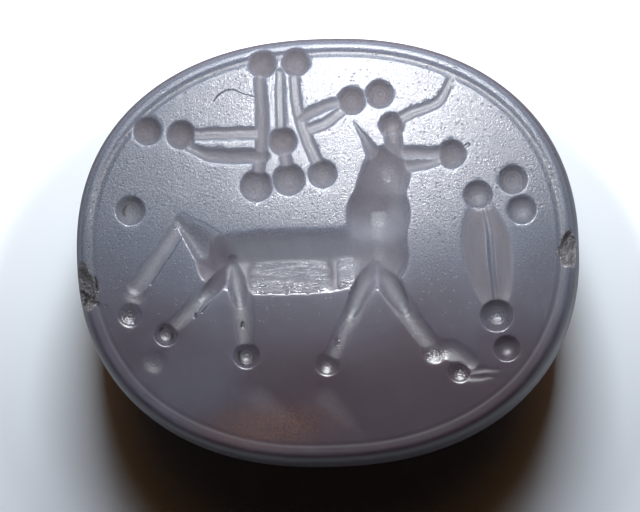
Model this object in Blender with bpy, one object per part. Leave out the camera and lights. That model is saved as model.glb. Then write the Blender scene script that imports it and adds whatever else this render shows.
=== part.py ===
"""A scaraboid seal: one cut stone with a flat engraved face, a domed back and a string hole.

The stone lies on a small flat spot on its back, so the engraved face looks up.
X runs along the stone, Y across it and Z up, and lengths are in metres.
Places in the engraving are shares of the stone, measured from the engraving's own middle:
x in percent of the stone's half length and y in percent of its half width.
"""

import math

import bmesh
import bpy
from mathutils import Matrix, Vector, noise

MM = 0.001
PERCENT = 0.01

# The stone
SEAL_LENGTH = 24.0 * MM
SEAL_WIDTH = 20.4 * MM
SEAL_HEIGHT = 11.0 * MM
GIRDLE_HEIGHT = 7.2 * MM  # the widest line, above the spot that the stone rests on
REST_SPOT_LENGTH = 4.2 * MM
OUTLINE_FULLNESS = 2.26  # 2 is an ellipse, and more is fuller
DOME_FULLNESS = 2.2
BAND_LEAN = 0.08 * MM  # how far the upright band draws in between the girdle and the shoulder
SHOULDER_RISE = 1.15 * MM
SHOULDER_INSET = 0.5 * MM
OUTLINE_SIDES = 72
DOME_RINGS = 9
BAND_RINGS = 2
SHOULDER_RINGS = 4

# The border line, cut just inside the shoulder
BORDER_LEDGE = 0.1 * MM  # flat stone left between the shoulder and the line
BORDER_WIDTH = 0.48 * MM
BORDER_DEPTH = 0.17 * MM

# The string hole, drilled lengthwise
HOLE_DIAMETER = 1.9 * MM
HOLE_MOUTH_DIAMETER = 2.6 * MM
HOLE_MOUTH_DEPTH = 0.6 * MM
HOLE_BELOW_FACE = 4.7 * MM
HOLE_SIDES = 20

# The round drills, by diameter, and how deep each sinks as a share of its radius
WIDE_DRILL = 1.55 * MM
ROUND_DRILL = 1.38 * MM
NARROW_DRILL = 1.22 * MM
FINE_DRILL = 1.1 * MM
HEAD_DRILL = 2.25 * MM
NECK_DRILL = 2.95 * MM
CHEST_DRILL = 2.7 * MM
DEEP = 0.66
BROAD = 0.56
SLIGHT = 0.36
DRILL_FACET = 0.3 * MM  # about how long each side of a drilled mouth is
DRILL_RINGS = 8

# The strokes of the wheel, by width
STAR_BAR_WIDTH = 0.64 * MM
STAR_ARM_WIDTH = 0.7 * MM
HORN_WIDTH = 0.46 * MM
BROW_WIDTH = 0.85 * MM
EAR_WIDTH = 0.9 * MM
MUZZLE_WIDTH = 0.68 * MM
NECK_WIDTH = 2.35 * MM
BODY_WIDTH = 3.0 * MM
RUMP_WIDTH = 1.1 * MM
TAIL_WIDTH = 0.74 * MM
HIND_LEG_WIDTH = 0.84 * MM
FORELEG_WIDTH = 1.08 * MM
COLUMN_WIDTH = 1.26 * MM
LEAF_WIDTH = 1.24 * MM
TRAIL_WIDTH = 0.4 * MM
STROKE_DEPTH = 0.4  # share of a stroke's width
COLUMN_DEPTH = 0.32  # the same for the column
TROUGH_DEPTH = 0.3  # the same for the neck and the body
FAINT_DEPTH = 0.17  # the same for the leaves below the animal
STROKE_SIDES = 10
POINTED = 0.15  # a stroke that ends narrower than this share of its width ends in a point
TOOL_CLEARANCE = 0.3 * MM  # how far the cutting tools reach above the face
ENGRAVING_MIDDLE = (0.6, -1.5)  # x and y shares: it lies a little off the middle of the face

# The chips at the two ends of the stone: x and y shares, then length, width and depth
LEFT_CHIP_PLACE = (-97.5, -13.6)
LEFT_CHIP_SIZE = (1.7 * MM, 2.0 * MM, 1.9 * MM)
RIGHT_CHIP_PLACE = (98.5, -3.4)
RIGHT_CHIP_SIZE = (1.4 * MM, 1.6 * MM, 1.7 * MM)
CHIP_ROUGHNESS = 0.4

STONE_COLOUR = (0.32, 0.32, 0.38, 1.0)
STONE_ROUGHNESS = 0.32

# Each sinking is x, y, the drill and its depth share
STAR_SINKINGS = (
    (-23.3, 89.3, ROUND_DRILL, DEEP),
    (-10.0, 89.5, ROUND_DRILL, DEEP),
    (-56.4, 57.5, ROUND_DRILL, DEEP),
    (11.6, 70.6, ROUND_DRILL, DEEP),
    (-16.3, 52.8, ROUND_DRILL, DEEP),
    (-27.4, 32.4, WIDE_DRILL, DEEP),
    (-14.4, 34.9, WIDE_DRILL, DEEP),
    (-1.0, 36.9, ROUND_DRILL, DEEP),
)
ANIMAL_SINKINGS = (
    (24.1, 35.4, HEAD_DRILL, BROAD),
    (20.6, 17.2, NECK_DRILL, BROAD),
    (20.3, -2.8, CHEST_DRILL, BROAD),
    (27.1, 58.5, NARROW_DRILL, DEEP),
    (50.5, 43.8, ROUND_DRILL, DEEP),
    (41.7, -44.4, NARROW_DRILL, SLIGHT),
    (51.1, -56.3, FINE_DRILL, DEEP),
    (-1.7, -51.9, FINE_DRILL, SLIGHT),
    (-33.6, -46.4, NARROW_DRILL, DEEP),
    (-65.2, -35.2, FINE_DRILL, DEEP),
    (-76.2, -13.9, FINE_DRILL, SLIGHT),
)
COLUMN_SINKINGS = (
    (60.3, 24.3, ROUND_DRILL, DEEP),
    (66.0, -31.9, WIDE_DRILL, DEEP),
)
LOOSE_SINKINGS = (
    (22.8, 73.1, ROUND_DRILL, DEEP),
    (-69.8, 60.1, ROUND_DRILL, DEEP),
    (-77.6, 23.1, ROUND_DRILL, DEEP),
    (74.3, 30.9, ROUND_DRILL, DEEP),
    (77.4, 16.8, ROUND_DRILL, DEEP),
    (69.5, -47.5, NARROW_DRILL, DEEP),
    (-79.2, -25.8, FINE_DRILL, DEEP),
    (-70.2, -47.6, FINE_DRILL, SLIGHT),
)

# Each stroke is a width, a depth share and its path, whose points are x, y and a share of the width
STAR_STROKES = (
    (STAR_BAR_WIDTH, STROKE_DEPTH, ((-24.4, 82.0, 0.9), (-24.3, 56.0, 1.0), (-27.3, 32.4, 0.9))),
    (STAR_BAR_WIDTH, STROKE_DEPTH, ((-16.5, 85.3, 0.7), (-17.0, 55.0, 0.8))),
    (STAR_BAR_WIDTH, STROKE_DEPTH, ((-11.0, 82.2, 0.8), (-8.8, 61.6, 1.0), (-1.2, 37.5, 1.1))),
    (STAR_BAR_WIDTH, STROKE_DEPTH, ((-16.1, 52.0, 0.9), (-14.5, 35.5, 0.9))),
    (STAR_ARM_WIDTH, STROKE_DEPTH, ((-55.8, 57.6, 0.9), (-24.5, 57.1, 1.0))),
    (STAR_ARM_WIDTH, STROKE_DEPTH, ((-53.3, 51.4, 0.6), (-43.5, 47.4, 1.0), (-25.0, 46.2, 1.1))),
    (STAR_ARM_WIDTH, STROKE_DEPTH, ((-9.0, 63.0, 0.8), (-0.3, 68.0, 0.8), (11.0, 71.2, 0.7))),
    (STAR_ARM_WIDTH, STROKE_DEPTH, ((-6.0, 57.6, 0.9), (1.9, 61.1, 0.9), (10.6, 68.6, 0.7))),
)
ANIMAL_STROKES = (
    (HORN_WIDTH, STROKE_DEPTH, (
        (28.5, 59.8, 1.1), (36.0, 64.2, 1.0), (43.0, 66.6, 1.0), (47.0, 70.0, 0.8), (52.4, 79.4, 0.3),
    )),
    (BROW_WIDTH, STROKE_DEPTH, ((27.7, 58.0, 0.9), (28.0, 44.0, 1.1))),
    (EAR_WIDTH, STROKE_DEPTH, ((12.0, 60.9, 0.05), (16.6, 52.1, 0.45), (21.0, 42.0, 1.1))),
    (MUZZLE_WIDTH, STROKE_DEPTH, ((27.0, 45.7, 1.0), (49.6, 44.2, 0.9))),
    (MUZZLE_WIDTH, STROKE_DEPTH, ((27.0, 39.0, 1.0), (38.0, 39.7, 0.9), (48.5, 42.0, 0.6))),
    (NECK_WIDTH, TROUGH_DEPTH, (
        (24.4, 40.0, 0.8), (21.5, 26.5, 1.0), (20.5, 7.0, 1.1), (20.5, -6.0, 0.95),
    )),
    (BODY_WIDTH, TROUGH_DEPTH, (
        (-40.0, -1.6, 0.8), (-27.0, -3.2, 1.0), (-3.2, -3.4, 1.0), (12.0, -2.2, 0.9),
    )),
    (RUMP_WIDTH, TROUGH_DEPTH, ((-56.0, 18.6, 0.5), (-49.0, 9.9, 1.0), (-44.0, 4.0, 1.0))),
    (TAIL_WIDTH, STROKE_DEPTH, ((-57.6, 15.8, 1.0), (-66.9, 0.9, 1.0), (-75.6, -12.9, 0.9))),
    (HIND_LEG_WIDTH, STROKE_DEPTH, ((-39.0, -5.0, 1.3), (-51.6, -19.9, 0.8), (-64.4, -34.2, 0.7))),
    (HIND_LEG_WIDTH, STROKE_DEPTH, ((-36.2, -6.0, 1.2), (-35.0, -26.2, 0.8), (-33.6, -45.6, 0.7))),
    (FORELEG_WIDTH, STROKE_DEPTH, ((18.3, -10.5, 1.1), (8.7, -29.0, 0.8), (-1.2, -50.4, 0.6))),
    (FORELEG_WIDTH, STROKE_DEPTH, ((20.4, -10.3, 1.1), (31.0, -28.1, 0.9), (40.9, -43.3, 0.7))),
    (TRAIL_WIDTH, STROKE_DEPTH, ((44.0, -50.5, 1.4), (51.2, -57.0, 1.2), (65.4, -60.4, 0.3))),
)
COLUMN_STROKES = (
    (COLUMN_WIDTH, COLUMN_DEPTH, (
        (60.0, 23.6, 0.5), (58.1, 7.3, 1.0), (59.1, -10.6, 0.95), (64.6, -31.0, 0.45),
    )),
    (COLUMN_WIDTH, COLUMN_DEPTH, (
        (62.3, 22.6, 0.4), (68.6, 6.6, 0.75), (70.6, -7.3, 0.75), (67.4, -31.2, 0.5),
    )),
)
LEAF_STROKES = (
    (LEAF_WIDTH, FAINT_DEPTH, ((-29.0, -65.3, 1.0), (-21.3, -72.6, 0.7), (-13.6, -78.9, 0.05))),
    (LEAF_WIDTH, FAINT_DEPTH, ((-2.4, -67.4, 1.0), (5.3, -76.6, 0.7), (12.0, -84.0, 0.05))),
)


def clear_scene():
    """Removes whatever the open file holds."""
    for thing in list(bpy.data.objects):
        bpy.data.objects.remove(thing, do_unlink=True)


def stone_material():
    """Milky blue-grey chalcedony."""
    material = bpy.data.materials.new("chalcedony")
    material.use_nodes = True
    shader = material.node_tree.nodes["Principled BSDF"]
    shader.inputs["Base Color"].default_value = STONE_COLOUR
    shader.inputs["Roughness"].default_value = STONE_ROUGHNESS
    shader.inputs["Metallic"].default_value = 0.0
    return material


def on_face(x, y):
    """The point of the face at these shares of the stone, from the engraving's middle."""
    x, y = x + ENGRAVING_MIDDLE[0], y + ENGRAVING_MIDDLE[1]
    return Vector((x * PERCENT * SEAL_LENGTH / 2, y * PERCENT * SEAL_WIDTH / 2, SEAL_HEIGHT))


def outline_point(angle, half_length, half_width):
    """A point of the stone's plan outline, a slightly full ellipse."""
    cosine, sine = math.cos(angle), math.sin(angle)
    power = 2 / OUTLINE_FULLNESS
    x = math.copysign(abs(cosine) ** power, cosine) * half_length
    y = math.copysign(abs(sine) ** power, sine) * half_width
    return x, y


def outline_ring(mesh, half_length, half_width, height):
    """One closed ring of the plan outline at a height, as its edges."""
    ring = bmesh.ops.create_circle(mesh, segments=OUTLINE_SIDES, radius=1.0)["verts"]
    for number, vert in enumerate(ring):
        angle = math.tau * number / OUTLINE_SIDES
        x, y = outline_point(angle, half_length, half_width)
        vert.co = (x, y, height)
    return ring_edges(ring)


def ring_edges(ring):
    """The edges around a ring of vertices, in order."""
    chosen = set(ring)
    edges = [edge for vert in ring for edge in vert.link_edges if edge.other_vert(vert) in chosen]
    return list(dict.fromkeys(edges))


def stone_profile():
    """The stone's side view, from its back up: shares of the half axes, insets and heights."""
    stations = []
    spot = REST_SPOT_LENGTH / SEAL_LENGTH
    start = math.asin(spot ** (DOME_FULLNESS / 2))
    lowest = math.cos(start) ** (2 / DOME_FULLNESS)
    for step in range(DOME_RINGS):
        angle = start + (math.pi / 2 - start) * step / DOME_RINGS
        share = math.sin(angle) ** (2 / DOME_FULLNESS)
        rise = 1 - math.cos(angle) ** (2 / DOME_FULLNESS) / lowest
        stations.append((share, 0.0, GIRDLE_HEIGHT * rise))
    band_top = SEAL_HEIGHT - SHOULDER_RISE
    for step in range(BAND_RINGS):
        part = step / BAND_RINGS
        stations.append((1.0, BAND_LEAN * part**2, GIRDLE_HEIGHT + (band_top - GIRDLE_HEIGHT) * part))
    for step in range(SHOULDER_RINGS + 1):
        angle = math.pi / 2 * step / SHOULDER_RINGS
        inset = BAND_LEAN + (SHOULDER_INSET - BAND_LEAN) * (1 - math.cos(angle))
        stations.append((1.0, inset, band_top + SHOULDER_RISE * math.sin(angle)))
    return stations


def finished_mesh(mesh, name):
    """Turns the working mesh into a named one with its faces pointing out."""
    bmesh.ops.recalc_face_normals(mesh, faces=mesh.faces)
    data = bpy.data.meshes.new(name)
    mesh.to_mesh(data)
    mesh.free()
    return data


def stone_blank():
    """The uncut stone: rings from the resting spot up to the face, bridged and closed."""
    mesh = bmesh.new()
    rings = [
        outline_ring(mesh, SEAL_LENGTH / 2 * share - inset, SEAL_WIDTH / 2 * share - inset, height)
        for share, inset, height in stone_profile()
    ]
    for lower, upper in zip(rings, rings[1:]):
        bmesh.ops.bridge_loops(mesh, edges=lower + upper)
    bmesh.ops.edgeloop_fill(mesh, edges=rings[0])
    bmesh.ops.edgeloop_fill(mesh, edges=rings[-1])
    return finished_mesh(mesh, "scaraboid")


def add_tool(name, data, place=(0.0, 0.0, 0.0), turn=0.0):
    """A cutting tool: a hidden wire object that only cuts the stone."""
    tool = bpy.data.objects.new(name, data)
    tool.location = place
    tool.rotation_euler = (0.0, 0.0, turn)
    tool.hide_render = True
    tool.display_type = "WIRE"
    bpy.context.scene.collection.objects.link(tool)
    return tool


def drill_mesh(diameter, depth_share):
    """A ball whose middle stands above the face by what leaves the wanted mouth and depth."""
    mouth = diameter / 2
    depth = mouth * depth_share
    ball = (mouth**2 + depth**2) / (2 * depth)
    mesh = bmesh.new()
    bmesh.ops.create_uvsphere(
        mesh,
        u_segments=max(10, round(math.tau * mouth / DRILL_FACET)),
        v_segments=DRILL_RINGS,
        radius=ball,
        matrix=Matrix.Translation((0.0, 0.0, ball - depth)),
    )
    return finished_mesh(mesh, "drill")


def drill_tools(group, sinkings):
    """One ball for each sinking. Each is turned a little, so that no two neighbours share a facet."""
    meshes = {}
    tools = []
    for number, (x, y, drill, depth_share) in enumerate(sinkings):
        kind = (drill, depth_share)
        if kind not in meshes:
            meshes[kind] = drill_mesh(drill, depth_share)
        tools.append(add_tool(f"{group}_drill_{number + 1}", meshes[kind], on_face(x, y), turn=number))
    return tools


def stroke_stations(width, depth_share, path):
    """Places, half widths and depths along a stroke, with a rounded end wherever it isn't pointed."""
    points = [(on_face(x, y), width / 2 * share) for x, y, share in path]
    stations = [(place, half, half * 2 * depth_share) for place, half in points]
    for end, beside in ((0, 1), (-1, -2)):
        place, half = points[end]
        if path[end][2] <= POINTED:
            continue
        away = (place - points[beside][0]).normalized()
        rounded = []
        for angle in (math.radians(35), math.radians(65)):
            shrunk = half * math.cos(angle)
            rounded.append((place + away * half * math.sin(angle), shrunk, shrunk * 2 * depth_share))
        if end == 0:
            stations = rounded[::-1] + stations
        else:
            stations = stations + rounded
    return stations


def stroke_mesh(stations):
    """A tool swept along a stroke: half-round below the face and straight-sided above it."""
    mesh = bmesh.new()
    rings = []
    half_step = math.pi / STROKE_SIDES
    for number, (place, half, depth) in enumerate(stations):
        before = stations[max(number - 1, 0)][0]
        after = stations[min(number + 1, len(stations) - 1)][0]
        along = (after - before).normalized()
        across = Vector((-along.y, along.x, 0.0))
        ring = bmesh.ops.create_circle(mesh, segments=STROKE_SIDES, radius=1.0)["verts"]
        for corner, vert in enumerate(ring):
            angle = half_step + 2 * half_step * corner
            sideways = math.cos(angle) / math.cos(half_step) * half
            rise = math.sin(angle) * (depth if angle > math.pi else TOOL_CLEARANCE)
            vert.co = place + across * sideways + Vector((0.0, 0.0, rise))
        rings.append(ring_edges(ring))
    for one, other in zip(rings, rings[1:]):
        bmesh.ops.bridge_loops(mesh, edges=one + other)
    bmesh.ops.edgeloop_fill(mesh, edges=rings[0])
    bmesh.ops.edgeloop_fill(mesh, edges=rings[-1])
    return finished_mesh(mesh, "stroke")


def stroke_tools(group, strokes):
    """One swept tool for each stroke."""
    return [
        add_tool(f"{group}_stroke_{number + 1}", stroke_mesh(stroke_stations(*stroke)))
        for number, stroke in enumerate(strokes)
    ]


def border_tool():
    """A closed ring with a rounded underside that cuts the border line."""
    mesh = bmesh.new()
    middle = SHOULDER_INSET + BORDER_LEDGE + BORDER_WIDTH / 2
    section = (
        (-BORDER_WIDTH / 2, TOOL_CLEARANCE),
        (-BORDER_WIDTH / 2, -BORDER_DEPTH * 0.3),
        (-BORDER_WIDTH * 0.22, -BORDER_DEPTH),
        (BORDER_WIDTH * 0.22, -BORDER_DEPTH),
        (BORDER_WIDTH / 2, -BORDER_DEPTH * 0.3),
        (BORDER_WIDTH / 2, TOOL_CLEARANCE),
    )
    rings = []
    for sideways, rise in section:
        inset = middle + sideways
        rings.append(outline_ring(mesh, SEAL_LENGTH / 2 - inset, SEAL_WIDTH / 2 - inset, SEAL_HEIGHT + rise))
    for one, other in zip(rings, rings[1:] + rings[:1]):
        bmesh.ops.bridge_loops(mesh, edges=one + other)
    return add_tool("border_line", finished_mesh(mesh, "border_line"))


def hole_tool():
    """The string hole's drill: a straight bore that opens into a cone at both ends."""
    mesh = bmesh.new()
    reach = SEAL_LENGTH / 2
    flare = (HOLE_MOUTH_DIAMETER - HOLE_DIAMETER) / 2 / HOLE_MOUTH_DEPTH
    outside = reach + HOLE_MOUTH_DEPTH
    wide = HOLE_MOUTH_DIAMETER / 2 + flare * HOLE_MOUTH_DEPTH
    throat = reach - HOLE_MOUTH_DEPTH
    upright = Matrix.Rotation(math.pi / 2, 4, "Y")
    stations = ((-outside, wide), (-throat, HOLE_DIAMETER / 2), (throat, HOLE_DIAMETER / 2), (outside, wide))
    rings = []
    for x, radius in stations:
        ring = bmesh.ops.create_circle(mesh, segments=HOLE_SIDES, radius=radius)["verts"]
        place = Matrix.Translation((x, 0.0, SEAL_HEIGHT - HOLE_BELOW_FACE))
        bmesh.ops.transform(mesh, matrix=place @ upright, verts=ring)
        rings.append(ring_edges(ring))
    for one, other in zip(rings, rings[1:]):
        bmesh.ops.bridge_loops(mesh, edges=one + other)
    bmesh.ops.edgeloop_fill(mesh, edges=rings[0])
    bmesh.ops.edgeloop_fill(mesh, edges=rings[-1])
    return add_tool("string_hole", finished_mesh(mesh, "string_hole"))


def chip_tool(name, place, size):
    """A rough lump that breaks a chip out of the shoulder."""
    mesh = bmesh.new()
    verts = bmesh.ops.create_icosphere(mesh, subdivisions=2, radius=0.5)["verts"]
    for vert in verts:
        vert.co *= 1 + CHIP_ROUGHNESS * noise.noise(vert.co * 5 + Vector((place[0], place[1], 0.0)))
    bmesh.ops.scale(mesh, vec=size, verts=verts)
    return add_tool(name, finished_mesh(mesh, name), on_face(*place) - Vector((0.0, 0.0, size[2] * 0.16)))


def cut(stone, tools):
    """Takes each tool out of the stone, one after the other."""
    for tool in tools:
        cutting = stone.modifiers.new(tool.name, "BOOLEAN")
        cutting.operation = "DIFFERENCE"
        cutting.solver = "EXACT"
        cutting.object = tool


def build():
    """Makes the seal."""
    clear_scene()
    data = stone_blank()
    data.materials.append(stone_material())
    stone = bpy.data.objects.new("scaraboid", data)
    bpy.context.scene.collection.objects.link(stone)
    cut(stone, [border_tool(), hole_tool()])
    cut(stone, stroke_tools("star", STAR_STROKES) + drill_tools("star", STAR_SINKINGS))
    cut(stone, stroke_tools("animal", ANIMAL_STROKES) + drill_tools("animal", ANIMAL_SINKINGS))
    cut(stone, stroke_tools("column", COLUMN_STROKES) + drill_tools("column", COLUMN_SINKINGS))
    cut(stone, stroke_tools("leaf", LEAF_STROKES) + drill_tools("loose", LOOSE_SINKINGS))
    cut(
        stone,
        [
            chip_tool("left_chip", LEFT_CHIP_PLACE, LEFT_CHIP_SIZE),
            chip_tool("right_chip", RIGHT_CHIP_PLACE, RIGHT_CHIP_SIZE),
        ],
    )


build()
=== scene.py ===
"""The looks of the scaraboid seal: its engraved and worn stone, its finish, and the light it lies in.

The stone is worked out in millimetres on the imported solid's own box and laid down in metres.
Places in the engraving are shares of the stone, measured from the engraving's own middle:
x in percent of the stone's half length and y in percent of its half width.
"""

import math

import bmesh
import bpy
import numpy as np
from bpy.props import FloatProperty, FloatVectorProperty, PointerProperty
from bpy.types import Operator, Panel, PropertyGroup
from mathutils import Matrix, Vector, noise


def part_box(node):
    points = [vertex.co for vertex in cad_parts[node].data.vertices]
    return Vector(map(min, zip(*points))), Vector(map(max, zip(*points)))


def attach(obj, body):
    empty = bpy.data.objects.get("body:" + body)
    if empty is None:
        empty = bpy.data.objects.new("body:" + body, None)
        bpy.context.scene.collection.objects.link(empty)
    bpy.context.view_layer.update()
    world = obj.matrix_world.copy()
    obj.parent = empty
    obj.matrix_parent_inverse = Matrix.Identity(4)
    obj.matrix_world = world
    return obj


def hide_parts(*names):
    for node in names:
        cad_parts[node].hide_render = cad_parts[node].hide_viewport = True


bl_info = {
    "name": "Scaraboid seal",
    "version": (1, 0, 0),
    "blender": (4, 5, 0),
    "location": "View3D > Sidebar > Seal",
    "description": "Cuts, wears and lights an engraved chalcedony scaraboid",
    "category": "Add Mesh",
}

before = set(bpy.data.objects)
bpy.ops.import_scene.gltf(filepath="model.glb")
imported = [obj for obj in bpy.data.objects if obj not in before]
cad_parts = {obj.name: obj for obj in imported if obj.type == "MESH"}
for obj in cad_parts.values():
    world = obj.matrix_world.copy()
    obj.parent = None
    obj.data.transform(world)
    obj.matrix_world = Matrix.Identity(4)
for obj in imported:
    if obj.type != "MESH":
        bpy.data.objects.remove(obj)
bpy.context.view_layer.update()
MM = 0.001
PERCENT = 0.01

# The stone's own box, in millimetres
LOWEST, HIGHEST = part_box("scaraboid")
HALF_LENGTH = max(-LOWEST.x, HIGHEST.x) / MM
HALF_WIDTH = max(-LOWEST.y, HIGHEST.y) / MM
FACE = HIGHEST.z / MM

# How finely the stone is cut, in millimetres
DOME_RINGS = 13
BAND_RINGS = 6
SHOULDER_RINGS = 9
LEDGE_RINGS = 2
BORDER_RINGS = 12
BORDER_MARGIN = 1.1
FIELD_CELL = 0.18
CUT_CELL = 0.09
ARRIS_CELL = 0.045
SCRATCH_CELL = 0.023
CHIP_CELLS = (0.14, 0.08, 0.04)
# How near each kind of cell reaches: to a cut's rim, to the ridge between two cuts and to a fine line
CUT_REACH = 0.22
LINE_REACH = 0.15
RIM_REACH = 0.085
RIDGE_REACH = 0.045
LINE_RIM_REACH = 0.05
LINE_CORE_REACH = 0.02
CHIP_REACH = 0.15
# How far the field's square cells stop short of the border line, in cells, and the string hole's sides
FIELD_GAP = 0.6
HOLE_SIDES = 56
SHARP_ANGLE = math.radians(60)

# How deep each sinking goes, as a share of its radius, and each stroke, as a share of its width
DEEP = 0.66
BROAD = 0.5
SLIGHT = 0.32
STROKE_DEPTH = 0.34
LEG_DEPTH = 0.12
TAIL_DEPTH = 0.12
COLUMN_DEPTH = 0.11
TROUGH_DEPTH = 0.2
NECK_DEPTH = 0.24
GRAZE_DEPTH = 0.09
FAINT_DEPTH = 0.016
RING_PITCH = 0.16
STEEPEST_RIM = 0.3
VALLEY_ROUNDING = 0.12
# How a hand wavers: each wave is a width in millimetres, its turns for each millimetre, and its start
WAVER_SIDEWAYS = ((0.012, 1.3, 3.1, 0.0), (0.005, -4.1, 9.7, 0.0))
WAVER_UPWARD = ((0.014, 5.4, 0.9, 2.0), (0.006, 11.9, 3.3, 0.0))
# Passes of the wheel beside each other, as shares: how far apart, how wide, how they narrow and how deep
PASS_SPREAD = 1.25
PASS_WIDTH = 0.72
PASS_TAPER = 0.9
PASS_DEPTH = 1.15
# How far the rump's cut leans, and how near to a cut, in millimetres, its depth is worked out
RUMP_LEAN = 1.5
CUT_MARGIN = 0.5
# How the face's polish and the border line wander, in millimetres or turns for each millimetre
POLISH_WAVE_SCALE = 0.35
BORDER_WANDER = 0.04
BORDER_WANDER_SCALE = 2.3
# How far down the stone is cut, in heights of its shoulder, and what still counts as flat, in millimetres
CUT_SHARE = 1.2
FLAT_MARGIN = 0.01
# The middle of the engraving, in percent of the stone's half length and half width
ENGRAVING_MIDDLE = (0.6, -1.5)


def size(name, words, default, smallest=0.0):
    """A length in millimetres that a user may change."""
    return FloatProperty(name=name, description=words, default=default, min=smallest, precision=3)


def colour(name, words, default):
    """A colour that a user may change."""
    return FloatVectorProperty(
        name=name, description=words, default=default, min=0.0, max=1.0, subtype="COLOR"
    )


def strength(name, words, default):
    """The strength of a light that a user may change."""
    return FloatProperty(name=name, description=words, default=default, min=0.0, precision=4)


class StoneSizes(PropertyGroup):
    """The uncut stone, in millimetres."""

    girdle_height: size("Girdle height", "The widest line, above the resting spot", 7.2)
    rest_spot: size("Resting spot", "Length of the flat spot on the back", 4.2)
    outline_fullness: size("Outline fullness", "2 is an ellipse, and more is fuller", 2.26, 1.0)
    dome_fullness: size("Dome fullness", "2 is an ellipse, and more is fuller", 2.2, 1.0)
    band_lean: size("Band lean", "How far the upright band draws in", 0.08)
    shoulder_rise: size("Shoulder rise", "Height of the rounded shoulder", 1.15)
    shoulder_inset: size("Shoulder inset", "Where the shoulder meets the face", 0.5)
    ledge: size("Ledge", "Flat stone between the shoulder and the border line", 0.1)
    hole: size("String hole", "Its diameter", 1.9)
    hole_mouth: size("Hole mouth", "Diameter where the hole opens out", 2.6)
    hole_mouth_depth: size("Mouth depth", "How far in the hole is wider", 0.6)
    hole_below_face: size("Hole below face", "Depth of the hole's axis", 4.7)
    polish_wave: size("Polish wave", "How far the polished face rises and falls", 0.006)


class EngravingSizes(PropertyGroup):
    """The border line, the drills by diameter and the strokes by width, in millimetres."""

    border: size("Border line", "Its width", 0.46)
    border_depth: size("Border depth", "How deep the border line is cut", 0.1)
    scratch: size("Border scratch", "Half width of the scratch that runs all round", 0.07)
    scratch_depth: size("Scratch depth", "How deep that scratch is", 0.011)
    wide_drill: size("Wide drill", "Diameter", 1.56)
    round_drill: size("Round drill", "Diameter", 1.4)
    narrow_drill: size("Narrow drill", "Diameter", 1.24)
    fine_drill: size("Fine drill", "Diameter", 1.12)
    head_drill: size("Head drill", "Diameter", 2.25)
    neck_drill: size("Neck drill", "Diameter", 2.95)
    chest_drill: size("Chest drill", "Diameter", 2.7)
    bar: size("Star bar", "Width of the star's upright bars", 0.64)
    arm: size("Star arm", "Width of the star's arms", 0.7)
    horn: size("Horn", "Width", 0.46)
    brow: size("Brow", "Width", 0.85)
    ear: size("Ear", "Width", 0.9)
    muzzle: size("Muzzle", "Width", 0.68)
    neck: size("Neck", "Width of the trough", 2.35)
    body: size("Body", "Width of the trough", 3.0)
    tail: size("Tail", "Width", 0.74)
    hind_leg: size("Hind leg", "Width", 0.84)
    foreleg: size("Foreleg", "Width", 1.08)
    column: size("Column", "Width of each side", 1.26)
    leaf: size("Leaf", "Width of the faint leaves", 1.24)
    trail: size("Trail", "Width of the cut behind the hoof", 0.4)
    arris: size("Worn arris", "How softly each cut meets the face", 0.03)
    ridge: size("Soft ridge", "How softly two cuts meet", 0.015)
    melt: size("Flesh", "How softly the animal's head, neck and body melt together", 0.22)


class StoneFinish(PropertyGroup):
    """The stone's colours and polish."""

    milk: colour("Milk", "Lavender grey of most of the stone", (0.085, 0.094, 0.122))
    # Smoke is also the colour of the painted shade towards the bottom, on the north shoulder and in the
    # shaded cut floors
    smoke_and_shade: colour("Smoke", "Darker clouds", (0.042, 0.028, 0.04))
    # The faint brown cloud is a painted warm glow of light coming through the stone
    brown_glow: colour("Rust", "The faint brown cloud near the lower edge", (0.13, 0.06, 0.03))
    ground: colour("Ground stone", "The rough floors of the cuts", (0.17, 0.165, 0.175))
    flint: colour("Broken stone", "The chips", (0.13, 0.11, 0.095))
    soot: colour("Dirt", "What lies in cracks and pits", (0.008, 0.006, 0.005))


class StageSettings(PropertyGroup):
    """The floor and the lamps."""

    paper: colour("Paper", "The pale floor behind the stone", (0.86, 0.88, 0.91))
    # The grey is painted shade on the floor in front of the stone
    shade: colour("Grey paper", "The floor in front of the stone", (0.41, 0.43, 0.47))
    key_power: strength("Key", "Watts of the lamp behind the stone", 1.15)
    warm_power: strength("Warm lamp", "Watts of the wide warm lamp", 0.18)
    glow_power: strength("Glow", "Watts of the small light above the face", 0.0038)
    world: strength("World", "Strength of the dim surroundings", 0.008)


# Each sinking is x, y, the drill, its depth share and how clearly its floor shows the drill's rings
STAR_SINKINGS = (
    (-23.3, 89.3, "round_drill", DEEP, 0.3),
    (-10.0, 89.5, "round_drill", DEEP, 0.5),
    (-56.4, 57.5, "round_drill", DEEP, 0.3),
    (11.6, 70.6, "round_drill", DEEP, 0.6),
    (-16.3, 52.8, "round_drill", DEEP, 0.2),
    (-27.4, 32.4, "wide_drill", DEEP, 0.4),
    (-14.4, 34.9, "wide_drill", DEEP, 0.9),
    (-1.0, 36.9, "round_drill", DEEP, 0.9),
)
ANIMAL_SINKINGS = (
    (24.1, 35.4, "head_drill", BROAD, 0.0),
    (20.6, 17.2, "neck_drill", BROAD, 0.0),
    (20.3, -2.8, "chest_drill", BROAD, 0.0),
    (27.1, 58.5, "narrow_drill", DEEP, 0.0),
    (50.5, 43.8, "round_drill", DEEP, 0.4),
    (41.0, -47.5, "narrow_drill", 0.2, 0.0),
    (50.7, -57.4, "fine_drill", SLIGHT, 0.5),
    (-1.7, -51.9, "fine_drill", SLIGHT, 0.3),
    (-33.6, -46.4, "narrow_drill", BROAD, 0.8),
    (-65.2, -35.2, "fine_drill", BROAD, 0.8),
    (-76.6, -15.2, "fine_drill", 0.11, 0.0),
)
COLUMN_SINKINGS = (
    (60.3, 24.3, "round_drill", DEEP, 0.2),
    (66.0, -31.9, "wide_drill", DEEP, 0.7),
)
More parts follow.
